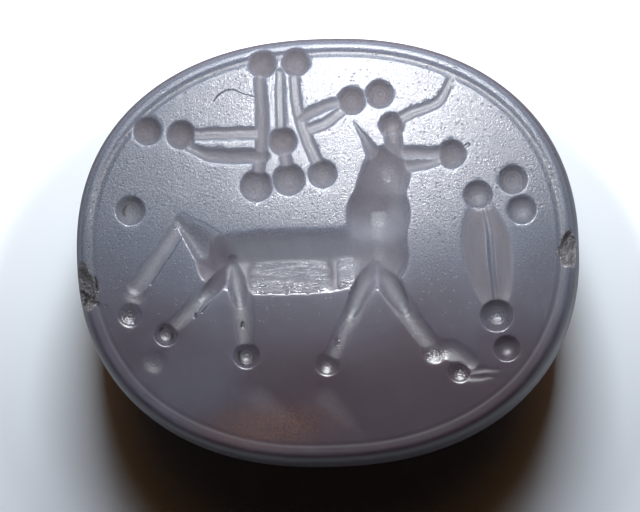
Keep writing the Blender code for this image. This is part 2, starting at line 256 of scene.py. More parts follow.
LOOSE_SINKINGS = (
    (22.8, 73.1, "round_drill", DEEP, 1.0),
    (-69.8, 60.1, "round_drill", DEEP, 0.2),
    (-77.6, 23.1, "round_drill", DEEP, 0.6),
    (74.3, 30.9, "round_drill", DEEP, 1.0),
    (77.4, 16.8, "round_drill", DEEP, 0.2),
    (69.5, -47.5, "narrow_drill", DEEP, 0.2),
    (-79.2, -25.8, "fine_drill", SLIGHT, 0.8),
    (-70.2, -47.6, "fine_drill", 0.11, 0.2),
)

# Each stroke is a width, a depth share, how many passes of the wheel made it, and its path,
# whose points are x, y and a share of the width
STAR_STROKES = (
    ("bar", STROKE_DEPTH, 1, ((-24.4, 82.0, 0.9), (-24.3, 56.0, 1.0), (-27.3, 32.4, 0.9))),
    ("bar", STROKE_DEPTH, 2, ((-16.5, 85.3, 0.7), (-17.0, 55.0, 0.8))),
    ("bar", STROKE_DEPTH, 2, ((-11.0, 82.2, 0.8), (-8.8, 61.6, 1.0), (-1.2, 37.5, 1.1))),
    ("bar", STROKE_DEPTH, 1, ((-16.1, 52.0, 0.9), (-14.5, 35.5, 0.9))),
    ("arm", STROKE_DEPTH, 2, ((-55.8, 57.6, 0.9), (-24.5, 57.1, 1.0))),
    ("arm", STROKE_DEPTH, 1, ((-53.3, 51.4, 0.6), (-43.5, 47.4, 1.0), (-25.0, 46.2, 1.1))),
    ("arm", STROKE_DEPTH, 1, ((-9.0, 63.0, 0.8), (-0.3, 68.0, 0.8), (11.0, 71.2, 0.7))),
    ("arm", STROKE_DEPTH, 2, ((-6.0, 57.6, 0.9), (1.9, 61.1, 0.9), (10.6, 68.6, 0.7))),
)
ANIMAL_STROKES = (
    ("horn", STROKE_DEPTH, 2, (
        (28.5, 59.8, 1.5), (36.0, 64.2, 1.4), (43.0, 66.6, 1.3), (47.0, 70.0, 1.2), (51.6, 79.4, 0.9),
    )),
    ("brow", STROKE_DEPTH, 1, ((27.7, 58.0, 0.9), (28.0, 44.0, 1.1))),
    ("ear", STROKE_DEPTH, 1, ((12.0, 60.9, 0.05), (16.6, 52.1, 0.45), (21.0, 42.0, 1.1))),
    ("muzzle", STROKE_DEPTH, 1, ((27.0, 45.7, 1.0), (49.6, 44.2, 0.9))),
    ("muzzle", STROKE_DEPTH, 1, ((27.0, 39.0, 1.0), (38.0, 39.7, 0.9), (48.5, 42.0, 0.6))),
    ("neck", NECK_DEPTH, 1, (
        (24.4, 40.0, 0.8), (21.5, 26.5, 1.0), (20.5, 7.0, 1.1), (20.5, -6.0, 0.95),
    )),
    ("body", TROUGH_DEPTH, 1, (
        (-41.0, -2.4, 0.86), (-27.0, -3.2, 1.0), (-3.2, -3.4, 1.0), (12.0, -2.2, 0.9),
    )),
    ("tail", TAIL_DEPTH, 1, ((-58.0, 15.6, 0.9), (-67.4, 0.6, 1.1), (-76.4, -12.9, 1.2))),
    ("hind_leg", LEG_DEPTH, 1, ((-40.0, -7.0, 1.3), (-51.6, -19.9, 0.95), (-65.0, -34.6, 0.85))),
    ("hind_leg", LEG_DEPTH, 1, ((-36.6, -7.0, 1.5), (-34.4, -24.0, 1.2), (-33.6, -45.6, 0.9))),
    ("foreleg", LEG_DEPTH, 1, ((18.6, -7.0, 1.1), (8.7, -29.0, 0.85), (-1.2, -50.4, 0.7))),
    ("foreleg", LEG_DEPTH, 1, ((19.6, -7.0, 1.1), (31.0, -29.6, 0.9), (40.9, -46.3, 0.8))),
    ("foreleg", TAIL_DEPTH, 1, ((43.0, -47.5, 0.7), (48.0, -47.5, 0.9), (54.0, -53.0, 0.9))),
    ("trail", GRAZE_DEPTH, 1, ((51.5, -58.4, 1.0), (58.8, -57.2, 0.8), (65.6, -57.4, 0.2))),
    ("trail", GRAZE_DEPTH, 1, ((51.5, -59.8, 1.0), (58.7, -60.8, 0.7), (63.5, -60.6, 0.2))),
)
COLUMN_STROKES = (
    ("column", COLUMN_DEPTH, 1, (
        (60.4, 20.7, 0.6), (58.4, 9.0, 0.95), (58.4, -4.0, 0.95), (60.2, -15.0, 0.8), (64.0, -29.0, 0.4),
    )),
    ("column", COLUMN_DEPTH, 1, (
        (63.8, 20.0, 0.35), (68.2, 6.0, 0.68), (69.4, -7.0, 0.72), (69.0, -18.0, 0.66), (67.4, -29.0, 0.5),
    )),
)
LEAF_STROKES = (
    ("leaf", FAINT_DEPTH, 1, ((-29.0, -65.3, 1.0), (-21.3, -72.6, 0.7), (-13.6, -78.9, 0.05))),
    ("leaf", FAINT_DEPTH, 1, ((-2.4, -67.4, 1.0), (5.3, -76.6, 0.7), (12.0, -84.0, 0.05))),
)
# Which sinkings and strokes melt into each other softly: the animal's head, neck, chest and body
FLESH = ("head_drill", "neck_drill", "chest_drill", "neck", "body")
# The body's trough has two almost flat walls, and the other strokes are round
VALLEY = {"body": 0.85, "neck": 0.2}

# Lines too fine for the drills: a width and a depth in millimetres, and the path
FINE_LINES = (
    (0.055, 0.03, (
        (-43.2, 72.4), (-41.5, 75.1), (-38.4, 77.3), (-35.0, 77.6), (-31.5, 75.6), (-26.8, 74.0),
    )),
    (0.1, 0.04, ((-56.2, 12.1), (-63.7, -0.7), (-70.4, -11.6))),
    (0.09, 0.05, ((-46.2, -15.4), (-49.2, -20.0), (-52.1, -24.6))),
    (0.09, 0.05, ((-44.7, -16.9), (-47.6, -21.5), (-50.5, -25.6))),
    (0.26, 0.13, ((-34.6, -31.4), (-34.6, -32.8))),
    (0.44, 0.1, ((62.6, 18.5), (64.2, 8.0), (64.7, -4.0), (65.2, -16.0), (66.0, -27.0))),
    (0.2, 0.06, ((54.4, 46.3), (57.3, 48.0))),
    (0.16, 0.05, ((2.8, -39.0), (2.2, -45.6))),
    (0.18, 0.07, ((-53.4, -26.4), (-53.6, -27.4))),
)

# The rump, and the deeper cuts where the legs leave the body: x, y, half width and depth in millimetres
RUMP = (
    (-57.5, 17.5, 0.35, 0.16), (-51.5, 10.5, 0.65, 0.36), (-46.0, 3.5, 0.9, 0.5), (-41.0, -1.0, 1.0, 0.56),
)
ROOTS = (
    ((-38.0, -2.0, 0.3, 0.62), (-36.2, -12.0, 0.44, 0.54), (-34.6, -27.0, 0.3, 0.02)),
    ((-38.6, -2.5, 0.3, 0.6), (-44.4, -12.0, 0.38, 0.44), (-53.0, -22.0, 0.26, 0.02)),
    ((18.4, -5.0, 0.36, 0.74), (14.0, -15.0, 0.46, 0.62), (6.0, -34.0, 0.3, 0.02)),
    ((19.4, -5.0, 0.36, 0.74), (25.0, -17.5, 0.46, 0.58), (32.4, -33.0, 0.3, 0.02)),
)

# Floors that the wheel left rough: x, y, two reaches in millimetres, how rough and how striped
ROUGH_PATCHES = (
    (-15.4, -11.3, 1.75, 0.8, 1.0, 1.0),
    (7.2, -10.4, 0.42, 0.8, 1.0, 0.6),
    (26.2, 36.2, 0.42, 0.42, 1.0, 0.0),
    (20.6, 15.2, 0.36, 0.36, 1.0, 0.0),
    (20.2, 3.0, 0.25, 0.7, 0.35, 0.0),
    (-37.4, -12.6, 0.4, 0.9, 0.9, 0.0),
    (-51.0, 7.5, 0.5, 0.8, 1.0, 0.0),
    (-58.6, 14.6, 0.3, 0.25, 0.7, 0.0),
    (41.9, -50.5, 0.5, 0.4, 1.0, 0.0),
    (2.5, -42.0, 0.14, 0.3, 1.0, 0.0),
    (28.4, 54.5, 0.35, 0.45, 0.9, 0.0),
    (61.5, 21.5, 0.5, 0.45, 0.9, 0.0),
    (79.0, 14.2, 0.4, 0.4, 0.7, 0.0),
    (66.6, -34.5, 0.5, 0.5, 0.9, 0.0),
    (51.1, -57.3, 0.4, 0.3, 0.9, 0.0),
    (-79.2, -26.8, 0.4, 0.4, 0.9, 0.0),
)

# Where the cuts' floors are smooth, rougher in polish and darkened with painted shade: x, y, two reaches in
# millimetres and how strongly
DULL_SHADE_PATCHES = (
    (-44.6, -4.6, 1.05, 1.3, 1.0),
    (-30.2, -11.0, 0.26, 0.8, 0.8),
    (0.5, -10.8, 0.2, 0.8, 0.8),
    (-50.0, 9.0, 0.5, 0.5, 0.5),
    (17.0, 25.0, 1.1, 1.2, 0.55),
    (20.5, -4.0, 1.3, 0.8, 0.4),
    (63.6, -2.5, 1.3, 2.6, 0.8),
)

# Dark lines of dirt: a width in millimetres and the path
DIRT_LINES = (
    (0.16, ((-98.4, -13.4), (-94.1, -17.4), (-91.6, -19.6))),
    (0.15, ((-95.9, -16.2), (-96.9, -19.4))),
    (0.09, ((-92.4, -7.5), (-91.9, -10.8), (-91.9, -13.5))),
    (0.05, ((-43.2, 72.4), (-41.5, 75.1), (-38.4, 77.3))),
    (0.035, ((-38.4, 77.3), (-35.0, 77.6), (-31.5, 75.6), (-26.8, 74.0))),
    (0.08, ((-79.6, 25.5), (-80.6, 23.0), (-79.8, 20.6))),
    (0.08, ((-36.3, -44.5), (-36.8, -47.4), (-35.2, -50.4))),
    (0.07, ((-67.4, -33.2), (-66.6, -32.2))),
    (0.07, ((-63.0, -34.6), (-62.6, -37.0))),
    (0.09, ((-34.9, -30.9), (-35.3, -32.6))),
)

# Each chip is x, y, its reach, how far its middle stands out from the edge, and a seed
CHIPS = (
    (-96.4, -13.4, 1.9, 1.5, 3.0),
    (95.6, -2.7, 1.1, 0.7, 8.0),
)
# Where chips break out: how far in from the end, and the way out of the stone along it and upward
CHIP_EDGE = 0.5
CHIP_WAY = (0.75, 0.66)
# How far round a chip its breakage is looked for, in millimetres
CHIP_MARGIN = 0.3
# The chips' shell, ridges and grain: each is a height in millimetres and a scale
CHIP_SHELL = (0.09, 3.0)
CHIP_RIDGES = (0.09, 8.0)
CHIP_GRAIN = (0.03, 22.0)
# How strongly the border line is cut, by angle in degrees from the right hand end
BORDER_STRENGTH = (
    (0, 0.4), (18, 0.5), (45, 1.0), (120, 1.0), (150, 0.8),
    (172, 0.25), (190, 0.08), (325, 0.08), (360, 0.4),
)

# Where the stone's colour and polish change, as spans in millimetres along its width, length and height
# The south span darkens the stone towards the bottom as painted shade, and the pale spans lessen that
# painted shade towards the lower left
SOUTH = (2.5, -9.0)
NORTH = (-3.0, 5.0)
PALE_ACROSS = (0.0, -8.0)
PALE_ALONG = (-3.0, -8.0)
SHOULDER = (FACE - 0.03, FACE - 0.4)
# The shoulder's north side, and the sunken floors in the north half, are darkened with painted shade
SHOULDER_SHADE_ALONG = (0.0, 6.0)
# The painted warm glow, a faint brown cloud of light coming through the stone: its middle in millimetres,
# how it is squeezed, and how far it reaches
BROWN_GLOW_PLACE = (-3.0, -8.3)
BROWN_GLOW_SQUEEZE = (0.32, 0.9)
BROWN_GLOW_REACH = 1.5
BROWN_GLOW_SPECKS = (0.35, 0.7)
BROWN_GLOW_ON_CUTS = (1.0, 0.0, 0.1, 0.9)
# The patterns in the stone: each is a scale for each millimetre, a detail and a roughness
CLOUDS = (0.2, 3.0, 0.55)
SPECKS = (9.0, 2.0, 0.7)
PIT_GROUPS = (1.3, 1.0, 0.5)
SATIN = (9.0, 3.0, 0.72)
FLECKS = (15.0, 1.0, 0.6)
LUMPS = (7.0, 3.0, 0.7)
COMB = (1.0, 3.0, 0.65)
COMB_SCALE = (1.0, 6.5, 1.0)
PIT_SCALE = 3.8
PIT_SIZE = (0.22, 0.12)
PIT_GROUP_EDGE = (0.3, 0.5)
PITS_ON_CUTS = (0.6, 0.0)
PITS_SOUTH = (0.0, 0.7, 1.0, 0.15)
# The marks that the mesh carries for the finish
MARKS = (
    "cut", "wheel", "scratch", "radial", "rings", "ground", "striped", "dull", "dirt", "chip",
)
# How far down the marks are set, and over what distance they fade, in millimetres
MARK_DEPTH = 2.5
CUT_FADE = 0.05
WHEEL_FADE = 0.03
CHIP_FADE = 0.05
RING_FADE = 0.3
# How strongly each mark takes its colour; pale lessens the painted shade, and the shoulder and dull marks
# add painted shade
TINTS = {
    "clouds": 0.9, "pale": -0.45, "shoulder_shade": 0.85, "dull": 0.6, "scratch": 0.35, "pits": 0.45, "dirt": 0.92,
}
# Paler ground stone on the cut floors, fading towards the bottom as painted shade
GROUND_TINT = (0.0, 1.0, 0.28, 0.08)
FLINT_TINT = (0.4, 0.7, 0.3, 0.8)
# How much each mark adds to the polish's own roughness
POLISH = 0.28
ROUGHNESS = {"flecks": 0.9, "dull": 0.3, "pits": 0.6, "chip": -0.26, "ground": -0.23}
GROUND_FLECKS = 0.8
CUT_POLISH = (0.3, 0.9, -0.06, 0.02)
WHEEL_POLISH = (0.3, 0.8, 0.19, 0.16)
COMB_POLISH = (0.44, 0.58, -0.04, 0.42)
SHOULDER_POLISH = (-6.0, 4.0, 0.16, 0.62)
# How high each pattern stands, in steps of the relief, whose size is in millimetres
RELIEF_STEP = 0.004
RELIEF = {"pits": -1.6, "ground": 6.0, "chip": 24.0, "cut": 3.0, "rings": 1.5, "striped": 24.0}
GRAIN_HEIGHT = (0.0, 1.0, 0.8, 5.5)
# How chalcedony bends and scatters light, with the scatter's reach in millimetres
STONE_IOR = 1.54
SCATTER_COLOUR = (1.0, 0.9, 0.9)
SCATTER_REACH = 2.0

SINKINGS = STAR_SINKINGS + ANIMAL_SINKINGS + COLUMN_SINKINGS + LOOSE_SINKINGS
STROKES = STAR_STROKES + ANIMAL_STROKES + COLUMN_STROKES + LEAF_STROKES


def on_face(x, y):
    """The place on the face, in millimetres, at these shares of the stone from the engraving's middle."""
    shares = np.array((x, y)) + ENGRAVING_MIDDLE
    return shares * PERCENT * (HALF_LENGTH, HALF_WIDTH)


def smoothly(path, steps=6):
    """A smooth curve through a path's points, whose numbers all change smoothly along it."""
    points = np.array(path, dtype=float)
    ends = np.vstack((2 * points[0] - points[1], points, 2 * points[-1] - points[-2]))
    curve = []
    for before, start, stop, after in zip(ends, ends[1:], ends[2:], ends[3:]):
        for share in np.arange(steps) / steps:
            curve.append(
                0.5 * (2 * start + (stop - before) * share
                + (2 * before - 5 * start + 4 * stop - after) * share**2
                + (3 * start - before - 3 * stop + after) * share**3)
            )
    return np.array(curve + [points[-1]])


def round_depth(away, half_width, depth):
    """Depth of a round-bottomed cut this far from its middle. Past its rim it goes on above the face."""
    radius = (half_width**2 + depth**2) / (2 * depth)
    floor = np.sqrt(np.maximum(radius**2 - np.minimum(away, half_width) ** 2, 0.0)) - (radius - depth)
    slope = half_width / np.maximum(radius - depth, STEEPEST_RIM * half_width)
    return floor - slope * np.maximum(away - half_width, 0.0)


def valley_depth(away, half_width, depth):
    """Depth of a cut with two flat walls that meet in a rounded valley."""
    rounding = VALLEY_ROUNDING * half_width
    return depth * (1 - (np.sqrt(away**2 + rounding**2) - rounding) / (half_width - rounding * 0.9))


def soft_greater(one, other, softness):
    """The greater of two depths, with a soft ridge where they meet."""
    return 0.5 * (one + other + np.sqrt((one - other) ** 2 + softness**2))


def by_hand(x, y):
    """Places shifted a little to and fro, as a hand wavers."""
    sideways, upward = (
        sum(width * np.sin(turns_x * x + turns_y * y + start) for width, turns_x, turns_y, start in waves)
        for waves in (WAVER_SIDEWAYS, WAVER_UPWARD)
    )
    return x + sideways, y + upward


def beside(x, y, start, run):
    """How far along a straight run places lie, as a share, and how far away from it."""
    along = ((x - start[0]) * run[0] + (y - start[1]) * run[1]) / max(run @ run, 1e-9)
    along = np.clip(along, 0.0, 1.0)
    return along, np.hypot(x - start[0] - along * run[0], y - start[1] - along * run[1])


def stroke_depth(x, y, path, half_widths, depths, valley=0.0, lean=0.0):
    """Depth of one pass of the wheel along a path, from round to two flat walls as valley grows.

    A lean makes it deeper on the path's right hand side and shallower on its left.
    """
    deepest = np.full(x.shape, -9.0)
    x, y = by_hand(x, y)
    for start, stop, wide, wide_next, deep, deep_next in zip(
        path, path[1:], half_widths, half_widths[1:], depths, depths[1:]
    ):
        run = stop - start
        along, away = beside(x, y, start, run)
        half = wide + (wide_next - wide) * along
        depth = deep + (deep_next - deep) * along
        section = round_depth(away, half, depth)
        if valley:
            section += valley * (valley_depth(away, half, depth) - section)
        if lean:
            across = ((x - start[0]) * run[1] - (y - start[1]) * run[0]) / np.hypot(*run) / half
            sloping = ((1 + np.clip(across, -1.0, 1.0)) / 1.6) ** lean
            section = np.where(section > 0, section * sloping, section)
        deepest = np.maximum(deepest, section)
    return deepest


class Cut:
    """One sinking or stroke: where it reaches, how deep it is at any place, and whether it melts softly.

    A sinking also has the strength of the rings that its drill left.
    """

    def __init__(self, centre, reach, depth, soft=False, rings=None):
        self.centre, self.reach, self.depth, self.soft, self.rings = centre, reach, depth, soft, rings


def sinking_cut(x, y, radius, depth_share, rings, soft):
    """A round drill's hollow."""
    centre = on_face(x, y)

    def depth(px, py):
        return round_depth(np.hypot(px - centre[0], py - centre[1]), radius, radius * depth_share)

    return Cut(centre, radius, depth, soft, rings)


def stroke_cuts(width, depth_share, passes, path, valley, soft):
    """A stroke of the wheel, or several beside each other that leave fine ridges between them."""
    curve = smoothly(path)
    places = np.array([on_face(x, y) for x, y in curve[:, :2]])
    shares = np.maximum(curve[:, 2], 0.03)
    along = np.gradient(places, axis=0)
    along /= np.linalg.norm(along, axis=1)[:, None]
    across = np.stack((-along[:, 1], along[:, 0]), axis=1)
    half_widths = width / 2 * shares
    cuts = []
    several = passes > 1
    for number in range(passes):
        sideways = (number - (passes - 1) / 2) / passes
        narrower = half_widths * ((1 - abs(sideways) * PASS_TAPER) * PASS_WIDTH if several else 1.0)
        line = places + across * (sideways * PASS_SPREAD * half_widths)[:, None]
        depths = np.minimum(narrower * 2 * depth_share * (PASS_DEPTH if several else 1.0), narrower)

        def depth(px, py, line=line, narrower=narrower, depths=depths):
            return stroke_depth(px, py, line, narrower, depths, valley)

        centre = (line.min(0) + line.max(0)) / 2
        reach = np.linalg.norm(line.max(0) - line.min(0)) / 2 + narrower.max()
        cuts.append(Cut(centre, reach, depth, soft))
    return cuts


def all_cuts(sizes):
    """Every sinking and stroke of the engraving."""
    cuts = []
    for x, y, drill, share, rings in SINKINGS:
        cuts.append(sinking_cut(x, y, getattr(sizes, drill) / 2, share, rings, drill in FLESH))
    for width, share, passes, path in STROKES:
        valley = VALLEY.get(width, 0.0)
        cuts += stroke_cuts(getattr(sizes, width), share, passes, path, valley, width in FLESH)
    return cuts + [root_cut(path) for path in ROOTS] + [root_cut(RUMP, RUMP_LEAN)]


def root_cut(path, lean=0.0):
    """A cut whose depth is given along its path."""
    curve = smoothly(path)
    line = np.array([on_face(x, y) for x, y in curve[:, :2]])
    half_widths, depths = curve[:, 2], curve[:, 3]
    centre = (line.min(0) + line.max(0)) / 2
    reach = np.linalg.norm(line.max(0) - line.min(0)) / 2 + half_widths.max()
    return Cut(centre, reach, lambda x, y: stroke_depth(x, y, line, half_widths, depths, 0.0, lean))


def carved_depth(cuts, x, y, engraving):
    """Depth of the whole engraving, and how far its deepest cut goes below the next one."""
    deepest = np.full(x.shape, -1.0)
    second = np.full(x.shape, -1.0)
    for cut in sorted(cuts, key=lambda cut: not cut.soft):
        near = np.hypot(x - cut.centre[0], y - cut.centre[1]) < cut.reach + CUT_MARGIN
        if not near.any():
            continue
        depth = cut.depth(x[near], y[near])
        second[near] = np.maximum(second[near], np.minimum(depth, deepest[near]))
        ridge = engraving.melt if cut.soft else engraving.ridge
        deepest[near] = soft_greater(deepest[near], depth, ridge)
    return deepest, deepest - second


def line_distance(x, y, path, steps=4):
    """Distance from a fine line."""
    line = np.array([on_face(*place) for place in smoothly(path, steps)])
    nearest = np.full(x.shape, 9.0)
    for start, stop in zip(line, line[1:]):
        nearest = np.minimum(nearest, beside(x, y, start, stop - start)[1])
    return nearest


def fine_lines(x, y):
    """Depth of the fine lines, and the distance to the nearest one's edge."""
    depth = np.zeros(x.shape)
    nearest = np.full(x.shape, 9.0)
    for width, deep, path in FINE_LINES:
        away = line_distance(x, y, path)
        depth = np.maximum(depth, deep * np.clip(1 - (away / width * 2) ** 2, 0.0, 1.0))
        nearest = np.minimum(nearest, away - width / 2)
    return depth, nearest


def outline_point(angle, half_length, half_width, fullness):
    """A point of the stone's plan outline, a slightly full ellipse."""
    cosine, sine = math.cos(angle), math.sin(angle)
    x = math.copysign(abs(cosine) ** (2 / fullness), cosine) * half_length
    y = math.copysign(abs(sine) ** (2 / fullness), sine) * half_width
    return x, y


def outline_angle(x, y, fullness):
    """The angle that the outline's formula counts at a place."""
    along = math.copysign(abs(x / HALF_LENGTH) ** (fullness / 2), x)
    across = math.copysign(abs(y / HALF_WIDTH) ** (fullness / 2), y)
    return math.atan2(across, along)


def stone_profile(sizes, engraving):
    """The stone's side view, from the field inside the border line out and down to the back.

    Each station is a share of the half axes, an inset and a height.
    """
    stations = []
    outer = sizes.shoulder_inset + sizes.ledge
    for step in range(BORDER_RINGS, -1, -1):
        stations.append((1.0, outer + engraving.border * BORDER_MARGIN * step / BORDER_RINGS, FACE))
    for step in range(LEDGE_RINGS - 1, -1, -1):
        stations.append((1.0, sizes.shoulder_inset + sizes.ledge * step / LEDGE_RINGS, FACE))
    band_top = FACE - sizes.shoulder_rise
    for step in range(SHOULDER_RINGS - 1, -1, -1):
        angle = math.pi / 2 * step / SHOULDER_RINGS
        inset = sizes.band_lean + (sizes.shoulder_inset - sizes.band_lean) * (1 - math.cos(angle))
        stations.append((1.0, inset, band_top + sizes.shoulder_rise * math.sin(angle)))
    for step in range(BAND_RINGS - 1, -1, -1):
        part = step / BAND_RINGS
        height = sizes.girdle_height + (band_top - sizes.girdle_height) * part
        stations.append((1.0, sizes.band_lean * part**2, height))
    spot = sizes.rest_spot / (2 * HALF_LENGTH)
    start = math.asin(spot ** (sizes.dome_fullness / 2))
    lowest = math.cos(start) ** (2 / sizes.dome_fullness)
    for step in range(DOME_RINGS - 1, -1, -1):
        angle = start + (math.pi / 2 - start) * step / DOME_RINGS
        share = math.sin(angle) ** (2 / sizes.dome_fullness)
        rise = 1 - math.cos(angle) ** (2 / sizes.dome_fullness) / lowest
        stations.append((share, 0.0, sizes.girdle_height * rise))
    return stations


def face_field(mesh, inset, fullness):
    """The flat face inside the border line, as square cells that stop just short of it."""
    reach = (HALF_LENGTH - inset, HALF_WIDTH - inset)
    columns, rows = (math.ceil(2 * side / FIELD_CELL) for side in reach)
    made = bmesh.ops.create_grid(mesh, x_segments=columns, y_segments=rows, size=1.0)["verts"]
    bmesh.ops.scale(mesh, vec=(columns * FIELD_CELL / 2, rows * FIELD_CELL / 2, 1.0), verts=made)
    bmesh.ops.translate(mesh, vec=(0.0, 0.0, FACE), verts=made)
    inner = [side - FIELD_CELL * FIELD_GAP for side in reach]
    outside = [
        vert for vert in made
        if (abs(vert.co.x) / inner[0]) ** fullness + (abs(vert.co.y) / inner[1]) ** fullness > 1
    ]
    bmesh.ops.delete(mesh, geom=outside, context="VERTS")
    return [vert for vert in made if vert.is_valid]


def face_centres(faces):
    """The middles of some faces, as an array."""
    return np.array([face.calc_center_median() for face in faces])


def refine(mesh, faces):
    """Splits faces into four, and lets their neighbours follow."""
    edges = {edge for face in faces for edge in face.edges}
    edges = sorted(edges, key=lambda edge: edge.index)
    bmesh.ops.subdivide_edges(mesh, edges=edges, cuts=1, use_grid_fill=True)


def refine_cuts(mesh, cuts, engraving):
    """Gives the field finer cells inside each cut, and the finest along arrises and fine lines."""
    for cell in (CUT_CELL, ARRIS_CELL, SCRATCH_CELL):
        mesh.edges.index_update()
        whole = [face for face in mesh.faces if face.calc_area() > 2.0 * cell**2]
        centres = face_centres(whole)
        x, y = centres[:, 0], centres[:, 1]
        depth, lead = carved_depth(cuts, x, y, engraving)
        off_line = fine_lines(x, y)[1]
        if cell == CUT_CELL:
            wanted = (depth > -CUT_REACH) | (off_line < LINE_REACH)
        elif cell == ARRIS_CELL:
            wanted = (abs(depth) < RIM_REACH) | ((depth > 0) & (lead < RIDGE_REACH))
            wanted |= off_line < LINE_RIM_REACH
        else:
            wanted = off_line < LINE_CORE_REACH
        refine(mesh, [face for face, chosen in zip(whole, wanted) if chosen])


def refine_chips(mesh):
    """Gives the stone's edge finer cells wherever a chip is broken out of it."""
    for cell in CHIP_CELLS:
        mesh.edges.index_update()
        large = [face for face in mesh.faces if face.calc_area() > 1.5 * cell**2]
        centres = face_centres(large)
        wanted = np.zeros(len(large), dtype=bool)
        for x, y, reach, stand_out, _ in CHIPS:
            away = np.linalg.norm(centres - chip_centre(x, y, stand_out), axis=1)
            wanted |= away < reach + CHIP_REACH
        refine(mesh, [face for face, chosen in zip(large, wanted) if chosen])


def boundary_loop(mesh):
    """The field's edge as vertices in order."""
    edges = [edge for edge in mesh.edges if edge.is_boundary]
    loop = list(edges[0].verts)
    edge = edges[0]
    while True:
        edge = next(other for other in loop[-1].link_edges if other.is_boundary and other is not edge)
        vert = edge.other_vert(loop[-1])
        if vert is loop[0]:
            return loop
        loop.append(vert)


def even_angles(loop, fullness):
    """An angle for each vertex of the field's stepped edge, evened out along it."""
    angles = np.unwrap([outline_angle(vert.co.x, vert.co.y, fullness) for vert in loop])
    turn = math.tau if angles[-1] > angles[0] else -math.tau
    trend = np.arange(len(loop)) * turn / len(loop)
    offset = angles - trend
    reach = 6
    wrapped = np.concatenate((offset[-reach:], offset, offset[:reach]))
    return trend + np.convolve(wrapped, np.ones(2 * reach + 1) / (2 * reach + 1), "valid")


def grow_sides(mesh, loop, stations, fullness):
    """Draws the stepped edge of the field out and down, ring by ring, and closes the resting spot."""
    angles = even_angles(loop, fullness)
    for share, inset, height in stations:
        edges = [mesh.edges.get(pair) for pair in zip(loop, loop[1:] + loop[:1])]
        grown = bmesh.ops.extrude_edge_only(mesh, edges=edges)["geom"]
        fresh = {part for part in grown if isinstance(part, bmesh.types.BMVert)}
        loop = [next(edge.other_vert(vert) for edge in vert.link_edges if edge.other_vert(vert) in fresh)
                for vert in loop]
        half_length, half_width = HALF_LENGTH * share - inset, HALF_WIDTH * share - inset
        for vert, angle in zip(loop, angles):
            vert.co = (*outline_point(angle, half_length, half_width, fullness), height)
    bmesh.ops.contextual_create(mesh, geom=loop)


def plan_inset(x, y, fullness):
    """How far places lie inside the outline, and their angles as the outline's formula counts them."""
    low, high = np.zeros(x.shape), np.full(x.shape, 4.0)
    for _ in range(16):
        middle = (low + high) / 2
        full = (abs(x) / (HALF_LENGTH - middle)) ** fullness + (abs(y) / (HALF_WIDTH - middle)) ** fullness
        inside = full < 1
        low, high = np.where(inside, middle, low), np.where(inside, high, middle)
    return (low + high) / 2, np.arctan2(y, x) % math.tau


def border_middle(angle, sizes, engraving):
    """Where the wavering border line's middle lies, as an inset from the outline."""
    turns = np.linspace(0.0, math.tau, 361)
    circle = [Vector((math.cos(turn), math.sin(turn), 0.0)) * BORDER_WANDER_SCALE for turn in turns]
    wander = [BORDER_WANDER * noise.noise(place + Vector((0.0, 0.0, 4.0))) for place in circle]
    return sizes.shoulder_inset + sizes.ledge + engraving.border / 2 + np.interp(angle, turns, wander)


def border_line(inset, angle, sizes, engraving):
    """Depth of the border line: a groove along the top edge that thins out to a scratch round the rest."""
    strength = np.interp(np.degrees(angle), *zip(*BORDER_STRENGTH))
    away = abs(inset - border_middle(angle, sizes, engraving))
    groove = 1 - np.minimum(away / (engraving.border / 2), 1.0) ** 1.3
    scratch = 1 - np.minimum(away / engraving.scratch, 1.0)
    return np.maximum(engraving.border_depth * strength * groove, engraving.scratch_depth * scratch)


def chip_centre(x, y, stand_out):
    """Middle of a chip's hollow, which stands out from the stone's shoulder."""
    place = on_face(x, y)
    out = Vector((math.copysign(CHIP_WAY[0], place[0]), 0.0, CHIP_WAY[1]))
    edge = Vector((math.copysign(HALF_LENGTH - CHIP_EDGE, place[0]), place[1], FACE))
    return np.array(edge + out * stand_out)


def chip_surface(way, reach, seed):
    """Distance of a chip's shell-shaped, ridged surface from its middle, in one direction."""
    shell = CHIP_SHELL[0] * noise.noise(way * CHIP_SHELL[1] + Vector((seed, 0.0, 0.0)))
    shell += CHIP_RIDGES[0] * abs(noise.noise(way * CHIP_RIDGES[1] + Vector((0.0, seed, 0.0))))
    return reach + shell + CHIP_GRAIN[0] * noise.noise(way * CHIP_GRAIN[1])


def break_chips(mesh):
    """Breaks the chips out of the shoulder."""
    for x, y, reach, stand_out, seed in CHIPS:
        centre = Vector(chip_centre(x, y, stand_out))
        for vert in mesh.verts:
            away = vert.co - centre
            if away.length < reach * 1.3:
                way = away.normalized()
                vert.co = centre + way * max(away.length, chip_surface(way, reach, seed))


